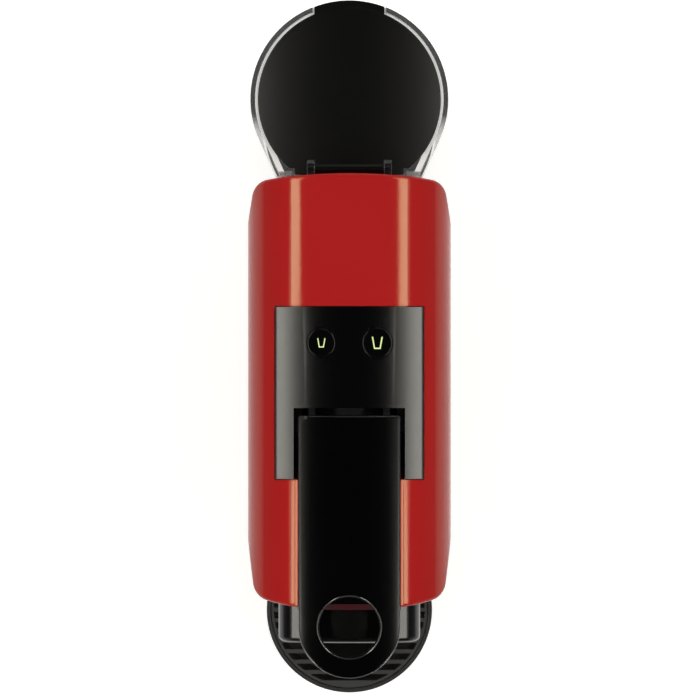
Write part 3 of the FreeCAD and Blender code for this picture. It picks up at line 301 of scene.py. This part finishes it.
def circuitBoard(look):
    # Green board: traces in rows under the mask and small gold pads
    finish, wire, place = startFinish("circuitBoard")
    spot = wire.add("ShaderNodeMapping", {}, {"Vector": place, "Rotation": (math.pi / 2, 0, 0),
                                              "Scale": [1 / look["pitch"]] * 3})
    rows = wire.add("ShaderNodeTexBrick", {"offset": 0.5}, {
        "Vector": spot, "Scale": 1.0, "Mortar Size": look["traceGap"], "Brick Width": look["traceLength"],
        "Row Height": look["traceWidth"]}, output="Fac")
    dots = wire.add("ShaderNodeTexVoronoi", {}, {"Vector": spot, "Scale": look["padDensity"]},
                    output="Distance")
    pad = 1 - dots.above(look["padReach"], look["padSoft"])
    colour = pad.blend(rows.blend(look["mask"], look["trace"]), look["gold"])
    closeFinish(wire, look, colour, look["rough"] - pad * look["padGloss"], rows + pad, {"Metallic": pad})
    return finish


finishes = {}
for make, looks in ((lacquer, lacquerLooks), (moulded, mouldedLooks), (metal, metalLooks)):
    for name, look in looks.items():
        finishes[name] = make(name, look)
finishes["clearTank"] = clearTank(tankLook)
finishes["circuitBoard"] = circuitBoard(boardLook)

dressing = {
    "redLacquer": ["outer_shell"],
    "leverBlack": ["lever"],
    "noseBlack": ["nose_cover"],
    "pianoBlack": ["control_panel", "small_cup_button", "large_cup_button"],
    "lidBlack": ["tank_lid", "tank_seat", "base_plate"],
    "trayPlastic": ["drip_tray", "tray_carrier", "capsule_container", "coffee_spout", "cord_gland"],
    "gridPlastic": ["drip_grid"],
    "clearTank": ["water_tank"],
    "innerPlastic": ["brew_carriage", "brew_chamber", "brew_frame", "coffee_gutter", "flow_meter",
                     "pump_saddle", "heater_bracket", "tank_valve", "board_standoffs", "crank_arms",
                     "button_switches"],
    "softRubber": ["rubber_feet", "tray_feet", "chamber_seal", "valve_seal"],
    "siliconeHose": ["inlet_hose", "pump_hose", "heater_hose", "brew_hose"],
    "brushedSteel": ["base_screws", "frame_screws", "piercing_needles", "extraction_plate",
                     "lid_hinge_pin"],
    "blackenedSteel": ["lever_axle", "crank_pins"],
    "castAluminium": ["heater"],
    "zincedSteel": ["pump"],
    "circuitBoard": ["main_board", "button_board"],
}
for name, members in dressing.items():
    for member in members:
        data = nodes[member].data
        if not data.materials:
            data.materials.append(finishes[name])
        for slot in nodes[member].material_slots:
            slot.material = finishes[name]
undressed = sorted(set(nodes) - {member for members in dressing.values() for member in members})
print("finishes:", len(finishes), "undressed nodes:", undressed)


def topOf(node):
    # The height of a node's upper face over a place in plan
    item = nodes[node]
    tree = BVHTree.FromPolygons([corner.co for corner in item.data.vertices],
                                [face.vertices for face in item.data.polygons])
    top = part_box(node)[1].z
    start = top + 10 * mm

    def height(x, y):
        hit = tree.ray_cast(Vector((x, y, start)), Vector((0, 0, -1)))[0]
        return hit.z if hit else top
    return height


meshDetail = {"sharpFrom": math.radians(35), "weld": 0.0001 * mm}


def addPiece(name, shape, finish, body, smooth=True):
    # Turns a bmesh into a piece that rides on a body
    data = bpy.data.meshes.new(name)
    bmesh.ops.recalc_face_normals(shape, faces=shape.faces)
    shape.to_mesh(data)
    shape.free()
    for face in data.polygons:
        face.use_smooth = smooth
    data.set_sharp_from_angle(angle=meshDetail["sharpFrom"])
    data.materials.append(finish)
    piece = bpy.data.objects.new(name, data)
    scene.collection.objects.link(piece)
    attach(piece, body)


def turned(profile, centre, steps=96, height=None):
    # A profile of (radius, height) points turned about an upright axis; height(x, y) is added under it
    shape = bmesh.new()
    rings = []
    for i in range(steps):
        turn = 2 * math.pi * i / steps
        ring = []
        for radius, rise in profile:
            x = centre[0] + radius * math.cos(turn)
            y = centre[1] + radius * math.sin(turn)
            ring.append(shape.verts.new((x, y, rise + (height(x, y) if height else 0))))
        rings.append(ring)
    for i in range(steps):
        first = rings[i]
        second = rings[(i + 1) % steps]
        for k in range(len(profile) - 1):
            shape.faces.new((first[k], second[k], second[k + 1], first[k + 1]))
    bmesh.ops.remove_doubles(shape, verts=shape.verts, dist=meshDetail["weld"])
    return shape


def prism(section, start, end, side=1):
    # A closed outline of (x, z) points drawn out lengthwise, with both ends closed; side -1 mirrors it
    shape = bmesh.new()
    ends = [[shape.verts.new((side * x, y, z)) for x, z in section] for y in (start, end)]
    for i in range(len(section)):
        j = (i + 1) % len(section)
        shape.faces.new((ends[0][i], ends[0][j], ends[1][j], ends[1][i]))
    for corners in ends:
        shape.faces.new(corners)
    return shape


def tube(path, radius, sides=8):
    # A thin round bead along a closed path
    shape = bmesh.new()
    turns = [2 * math.pi * k / sides for k in range(sides)]
    rings = []
    for i, spot in enumerate(path):
        along = (path[(i + 1) % len(path)] - path[i - 1]).normalized()
        across = along.cross(Vector((0, 0, 1))).normalized()
        upward = across.cross(along)
        rings.append([shape.verts.new(spot + radius * (across * math.cos(turn) + upward * math.sin(turn)))
                      for turn in turns])
    for i, ring in enumerate(rings):
        following = rings[(i + 1) % len(rings)]
        for k in range(sides):
            j = (k + 1) % sides
            shape.faces.new((ring[k], ring[j], following[j], following[k]))
    return shape


# Each cup sign's half widths at top and foot, its height and its line width
keys = {
    "small": {"node": "small_cup_button", "body": "small_button", "top": 1.8 * mm, "foot": 1.1 * mm,
              "tall": 4.0 * mm, "stroke": 0.45 * mm},
    "large": {"node": "large_cup_button", "body": "large_button", "top": 2.4 * mm, "foot": 1.45 * mm,
              "tall": 5.3 * mm, "stroke": 0.55 * mm},
}
# The cap's two rounds start at these shares of its rim's rise
keyCap = {"inset": 0.15 * mm, "rimWidth": 0.9 * mm, "rimRise": 0.2 * mm, "outerRound": 0.12 * mm,
          "outerShare": 0.7, "innerRound": 0.1 * mm, "innerShare": 0.75, "dish": 0.1 * mm,
          "skin": 0.04 * mm, "dishSteps": 8}
cupSign = {"deep": tone(186, 204, 132), "light": tone(212, 228, 160), "patch": 0.8 * mm, "glow": 0.5,
           "rough": 0.4, "rise": 0.14 * mm}


def cupGlow(look):
    # Back-lit symbol: an even glow with faint patches
    finish, wire, place = startFinish("cupGlow")
    colour = noise(place, look["patch"]).blend(look["deep"], look["light"])
    shader = wire.add("ShaderNodeBsdfPrincipled", {}, {
        "Base Color": colour, "Emission Color": colour, "Emission Strength": look["glow"],
        "Roughness": look["rough"]})
    wire.add("ShaderNodeOutputMaterial", {}, {"Surface": shader})
    return finish


def keyCapShape(look, radius, centre, keyTop):
    # A low rounded rim about a shallow dish
    well = radius - look["rimWidth"]
    profile = [(radius, 0), (radius - look["outerRound"], look["rimRise"] * look["outerShare"]),
               (radius - look["rimWidth"] / 2, look["rimRise"]),
               (well + look["innerRound"], look["rimRise"] * look["innerShare"]), (well, look["dish"])]
    for i in range(1, look["dishSteps"] + 1):
        share = 1 - i / look["dishSteps"]
        profile.append((well * share, look["skin"] + (look["dish"] - look["skin"]) * share ** 2))
    return turned(profile, centre, height=keyTop)


def cupSignShape(key, rise, centre, keyTop):
    # An open-topped outline with sloping sides
    top, foot, tall, stroke = (key[part] for part in ("top", "foot", "tall", "stroke"))
    slope = stroke * math.hypot(tall, top - foot) / tall
    inside = foot + (top - foot) * stroke / tall
    outline = [(-top, tall), (-foot, 0), (foot, 0), (top, tall), (top - slope, tall),
               (inside - slope, stroke), (slope - inside, stroke), (slope - top, tall)]
    shape = bmesh.new()
    upper = []
    lower = []
    for x, y in outline:
        spot = (centre[0] + x, centre[1] + y - tall / 2)
        base = keyTop(*spot)
        upper.append(shape.verts.new((*spot, base + rise)))
        lower.append(shape.verts.new((*spot, base)))
    for strip in ((0, 1, 6, 7), (1, 2, 5, 6), (2, 3, 4, 5)):
        shape.faces.new([upper[i] for i in strip])
    for i in range(len(outline)):
        j = (i + 1) % len(outline)
        shape.faces.new((upper[i], lower[i], lower[j], upper[j]))
    return shape


finishes["cupGlow"] = cupGlow(cupSign)
for size, key in keys.items():
    low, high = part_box(key["node"])
    centre = ((low.x + high.x) / 2, (low.y + high.y) / 2)
    radius = (high.x - low.x) / 2 - keyCap["inset"]
    keyTop = topOf(key["node"])
    cap = keyCapShape(keyCap, radius, centre, keyTop)
    addPiece(size + "KeyCap", cap, finishes["pianoBlack"], key["body"])
    sign = cupSignShape(key, cupSign["rise"], centre, keyTop)
    addPiece(size + "CupSign", sign, finishes["cupGlow"], key["body"], smooth=False)
print("buttons capped")


channelLip = {"inner": 22.37 * mm, "outer": 23.9 * mm, "rear": 0.2 * mm, "front": -103.6 * mm,
              "lean": math.radians(12.2), "thick": 0.5 * mm, "proud": 0.02 * mm}


def channelLips(look):
    # The shell's crown runs on over the edge of the lever's channel as a thin lip on each side
    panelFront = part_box("control_panel")[0].y
    low = topOf("outer_shell")(look["outer"], (look["front"] + panelFront) / 2) + look["proud"]
    high = low + (look["outer"] - look["inner"]) * math.tan(look["lean"])
    section = [(look["outer"], low), (look["inner"], high), (look["inner"], high - look["thick"]),
               (look["outer"], low - look["thick"])]
    for side, word in bothSides:
        shape = prism(section, look["front"], panelFront - look["rear"], side)
        addPiece(word + "ChannelLip", shape, finishes["redLacquer"], "housing")


panelWing = {"keySide": 19.6 * mm, "legSide": 24.6 * mm, "recess": -17.1 * mm, "lean": math.radians(9.9),
             "bend": math.radians(1.9), "inset": 0.1 * mm, "round": 0.6 * mm, "sink": 0.4 * mm,
             "steps": 24, "roundSteps": 5, "panelProbe": 2 * mm, "shellProbe": 0.5 * mm}


def panelWings(look):
    # The panel runs on flatter than its base to its long edges, with a small round at each edge. The
    # rear part starts beside the keys and the front part is the leg beside the lever.
    low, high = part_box("control_panel")
    outer = high.x - look["inset"]
    foot = topOf("outer_shell")(outer + look["shellProbe"], 0) - look["sink"]
    reach = outer - look["round"] - look["keySide"]
    height = topOf("control_panel")(look["keySide"], look["recess"] + look["panelProbe"])
    crest = [(look["keySide"], height, height - look["sink"])]
    for i in range(look["steps"]):
        slope = look["lean"] + look["bend"] * (i + 0.5) / look["steps"]
        height -= reach / look["steps"] * math.tan(slope)
        crest.append((look["keySide"] + reach * (i + 1) / look["steps"], height, height - look["sink"]))
    for i in range(1, look["roundSteps"] + 1):
        turn = math.pi / 2 * i / look["roundSteps"]
        crest.append((outer - look["round"] * (1 - math.sin(turn)),
                      height - look["round"] * (1 - math.cos(turn)), foot))
    leg = next(i for i, spot in enumerate(crest) if spot[0] >= look["legSide"])
    last = len(crest) - 1
    stations = (low.y + look["inset"], look["recess"], high.y - look["inset"])
    strips = ((0, leg), (1, 0))  # each strip's station and its first crest point
    rim = [((row, i), (row + 1, i)) for row, first in strips for i in (last, first)]
    for row, first, end in ((0, leg, last), (1, 0, leg), (2, 0, last)):
        rim += [((row, i), (row, i + 1)) for i in range(first, end)]
    for side, word in bothSides:
        shape = bmesh.new()
        upper = [[shape.verts.new((side * x, y, z)) for x, z, under in crest] for y in stations]
        lower = [[shape.verts.new((side * x, y, under)) for x, z, under in crest] for y in stations]
        for row, first in strips:
            for i in range(first, last):
                for layer in (upper, lower):
                    near, far = layer[row], layer[row + 1]
                    shape.faces.new((near[i], near[i + 1], far[i + 1], far[i]))
        for (row, i), (nextRow, j) in rim:
            shape.faces.new((upper[row][i], upper[nextRow][j], lower[nextRow][j], lower[row][i]))
        spare = [corner for corner in shape.verts if not corner.link_faces]
        bmesh.ops.delete(shape, geom=spare, context="VERTS")
        addPiece(word + "PanelWing", shape, finishes["pianoBlack"], "housing")


leverShadeLiner = {"rear": -78.6 * mm, "step": -103.4 * mm, "front": -105.9 * mm, "half": 22.6 * mm,
            "thick": 0.35 * mm, "lip": 0.7 * mm}


def addLeverShadeLiner(look):
    # A black liner in the channel under the lever's front, painted shade where the lever shades the red
    # floor: low lips along both sides, and an end in red darkened as painted shade
    base = topOf("outer_shell")(0, (look["rear"] + look["step"]) / 2)
    half = look["half"]
    inner = half - look["lip"]
    bed = base + look["thick"]
    lip = base + look["lip"]
    section = [(-half, base), (half, base), (half, lip), (inner, bed), (-inner, bed), (-half, lip)]
    shape = prism(section, look["step"], look["rear"])
    # Painted shade: a black sheet over the red channel floor where the lever shades it
    addPiece("leverShadeLiner", shape, finishes["pianoBlack"], "housing")
    # Painted shade: the channel's red end darkened
    shape = prism(section, look["front"], look["step"])
    addPiece("leverShadeLinerEnd", shape, finishes["darkRed"], "housing")


recessSill = {"inner": 22.9 * mm, "outer": 24.9 * mm, "front": 2.5 * mm, "length": 5 * mm,
              "thick": 0.3 * mm}


def recessSills(look):
    # Dark strips beside the lever where the panel's two legs end
    shell = topOf("outer_shell")
    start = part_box("control_panel")[0].y
    middle = (look["inner"] + look["outer"]) / 2
    for side, word in bothSides:
        low = shell(side * middle, start + look["front"] / 2)
        high = low + look["thick"]
        section = [(look["inner"], low), (look["outer"], low), (look["outer"], high), (look["inner"], high)]
        shape = prism(section, start, start + look["length"], side)
        addPiece(word + "RecessSill", shape, finishes["pianoBlack"], "housing")


channelLips(channelLip)
panelWings(panelWing)
addLeverShadeLiner(leverShadeLiner)
recessSills(recessSill)
print("channel lips, panel wings, lever bed and recess sills done")


# The liner's points are its radius and its rise from the lever's top
leverTrim = {"round": 0.9 * mm, "bead": 0.22 * mm, "inset": 0.3 * mm, "drop": 0.24 * mm,
             "corner": 1.2 * mm, "heelInset": 0.5 * mm, "heelDrop": 0.43 * mm, "ringBead": 13.85 * mm,
             "ringDrop": 0.28 * mm, "noseSteps": 48, "cornerSteps": 6, "heelSteps": 8, "ringSteps": 72,
             "liner": [(14.85 * mm, -0.02 * mm), (14.5 * mm, -0.03 * mm), (14.1 * mm, -0.14 * mm),
                       (13.8 * mm, -0.3 * mm), (13.4 * mm, -0.6 * mm), (13.2 * mm, -1.0 * mm),
                       (13.2 * mm, -3.0 * mm), (14.02 * mm, -3.2 * mm)]}


def trimLever(look):
    # A liner in the finger hole, and a thin grey bead along the lever's edge and round the hole, a painted
    # highlight on the lever's rounded edge
    low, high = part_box("lever")
    surface = topOf("lever")
    ring = (0, low.y + high.x)
    flat = high.x - look["round"]

    def crest(x, y):
        # The lever's arched top, which is the same along its whole length
        return surface(max(-flat, min(flat, x)), (low.y + high.y) / 2)

    reach = high.x - look["inset"]
    rear = high.y - look["heelInset"]
    corner = look["corner"]
    plan = []
    for i in range(look["noseSteps"] + 1):
        turn = math.pi * i / look["noseSteps"]
        plan.append((reach * math.cos(turn), ring[1] - reach * math.sin(turn), look["drop"]))
    heel = []
    for i in range(look["cornerSteps"] + 1):
        turn = math.pi / 2 * i / look["cornerSteps"]
        heel.append((corner - reach - corner * math.cos(turn), rear - corner + corner * math.sin(turn)))
    for i in range(1, look["heelSteps"]):
        heel.append(((corner - reach) * (1 - i / look["heelSteps"]), rear))
    heel += [(0, rear)] + [(-x, y) for x, y in reversed(heel)]
    plan += [(x, y, look["heelDrop"]) for x, y in heel]
    edge = [Vector((x, y, crest(x, y) - drop)) for x, y, drop in plan]
    # Painted highlight along the lever's edge and round the hole
    addPiece("leverEdgeHighlight", tube(edge, look["bead"]), finishes["edgeGrey"], "lever")

    hole = []
    for i in range(look["ringSteps"]):
        turn = 2 * math.pi * i / look["ringSteps"]
        x = look["ringBead"] * math.cos(turn)
        y = ring[1] + look["ringBead"] * math.sin(turn)
        hole.append(Vector((x, y, crest(x, y) - look["ringDrop"])))
    addPiece("ringEdgeHighlight", tube(hole, look["bead"]), finishes["edgeGrey"], "lever")
    liner = turned(look["liner"], ring, height=crest)
    addPiece("ringLiner", liner, finishes["leverBlack"], "lever")


trimLever(leverTrim)
print("lever trimmed")


trayRim = {"lipWidth": 0.9 * mm, "lipRise": 0.35 * mm, "groove": 0.3 * mm, "inset": 0.05 * mm,
           "sink": 0.25 * mm, "beadSteps": 6, "turnSteps": 160}


def rimBeads(look):
    # Two beads with a groove between them round the top of the drip tray
    low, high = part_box("drip_tray")
    outer = (high.x - low.x) / 2
    centre = ((low.x + high.x) / 2, low.y + outer)
    profile = []
    for start in (outer - look["inset"], outer - look["lipWidth"] - look["groove"]):
        for i in range(look["beadSteps"] + 1):
            turn = math.pi * i / look["beadSteps"]
            profile.append((start - look["lipWidth"] * (1 - math.cos(turn)) / 2,
                            high.z - look["sink"] + look["lipRise"] * math.sin(turn)))
    shape = turned(profile, centre, steps=look["turnSteps"])
    addPiece("trayRimBeads", shape, finishes["trayPlastic"], "pull_out")


rimBeads(trayRim)
print("tray rim done")


studio = {
    "height": 1.2, "length": 1.3,
    "strips": {"BrightStrip": {"near": 0.46, "far": 0.55, "radiance": 12.5},
               "SoftStrip": {"near": 0.55, "far": 0.72, "radiance": 3.0}},
    "fills": [{"place": (-1.1, -1.3, 0.7), "width": 1.1, "radiance": 0.5},
              {"place": (1.3, -0.9, 0.6), "width": 1.0, "radiance": 0.4},
              {"place": (0.4, 1.6, 0.8), "width": 1.1, "radiance": 0.5}],
    "aim": (0, 0, 0.1), "warm": (1.0, 0.97, 0.88), "ambient": 0.25, "horizon": 0.3,
}


def addLamp(name, place, width, length, radiance, aim):
    lamp = bpy.data.lights.new(name, "AREA")
    lamp.shape = "RECTANGLE"
    lamp.size = width
    lamp.size_y = length
    lamp.energy = math.pi * width * length * radiance
    lamp.color = studio["warm"]
    item = bpy.data.objects.new(name, lamp)
    item.location = place
    item.rotation_euler = (Vector(aim) - Vector(place)).to_track_quat("-Z", "Y").to_euler()
    scene.collection.objects.link(item)


for side, word in bothSides:
    for strip, look in studio["strips"].items():
        middle = side * (look["near"] + look["far"]) / 2
        addLamp(word + strip, (middle, 0, studio["height"]), look["far"] - look["near"], studio["length"],
                look["radiance"], (middle, 0, 0))
for i, look in enumerate(studio["fills"]):
    addLamp(f"fill{i}", look["place"], look["width"], look["width"], look["radiance"], studio["aim"])


def anyRay(wire, *kinds):
    # 1 for a ray of one of these kinds
    path = wire.add("ShaderNodeLightPath")
    found = path.sibling(kinds[0])
    for kind in kinds[1:]:
        found = found.most(path.sibling(kind))
    return found


# Gloss shows a soft horizon, and the camera sees white
world = bpy.data.worlds.new("studioWorld")
world.use_nodes = True
world.node_tree.nodes.clear()
air = Wire(world.node_tree)
heading = air.add("ShaderNodeTexCoord", output="Generated")
rise = abs(air.add("ShaderNodeSeparateXYZ", {}, {"Vector": heading}, output="Z"))
horizon = (1 - rise) ** 2 * studio["horizon"]
glow = studio["ambient"] + anyRay(air, "Is Glossy Ray") * (horizon - studio["ambient"])
seen = anyRay(air, "Is Camera Ray", "Is Transmission Ray")
sky = air.add("ShaderNodeBackground", {}, {"Color": grey(1), "Strength": glow + seen * (1 - glow)})
air.add("ShaderNodeOutputWorld", {}, {"Surface": sky})
scene.world = world

floorLook = {"deep": tone(232, 232, 232), "light": tone(236, 236, 236), "patch": 30 * mm, "rough": 0.9,
             "glow": 0.6, "half": 6, "drop": 0.3 * mm}


def paleFloor(look):
    # Matt paper that also glows a little where it is seen, straight on, in gloss or through the tank
    finish, wire, place = startFinish("paleFloor")
    seen = anyRay(wire, "Is Camera Ray", "Is Glossy Ray", "Is Transmission Ray")
    shader = wire.add("ShaderNodeBsdfPrincipled", {}, {
        "Base Color": noise(place, look["patch"]).blend(look["deep"], look["light"]),
        "Roughness": look["rough"], "Specular IOR Level": 0.0,
        "Emission Color": seen.blend(grey(0), grey(look["glow"])), "Emission Strength": 1.0})
    wire.add("ShaderNodeOutputMaterial", {}, {"Surface": shader})
    return finish


floorShape = bmesh.new()
bmesh.ops.create_grid(floorShape, x_segments=2, y_segments=2, size=floorLook["half"])
floorData = bpy.data.meshes.new("floor")
floorShape.to_mesh(floorData)
floorShape.free()
floorData.materials.append(paleFloor(floorLook))
floor = bpy.data.objects.new("floor", floorData)
floor.location.z = -floorLook["drop"]
scene.collection.objects.link(floor)
print("studio lit")


# The camera's place is in metres, its focal length in the photograph's pixels and its sensor in millimetres
viewpoint = {"place": (0.0003, 0.0081, 1.2), "focalPixels": 2288, "picture": 700, "sensor": 36}
eye = bpy.data.cameras.new("topView")
eye.sensor_width = viewpoint["sensor"]
eye.lens = viewpoint["focalPixels"] / viewpoint["picture"] * viewpoint["sensor"]
eyeItem = bpy.data.objects.new("topView", eye)
eyeItem.location = viewpoint["place"]
scene.collection.objects.link(eyeItem)
scene.camera = eyeItem
scene.view_settings.view_transform = "Standard"
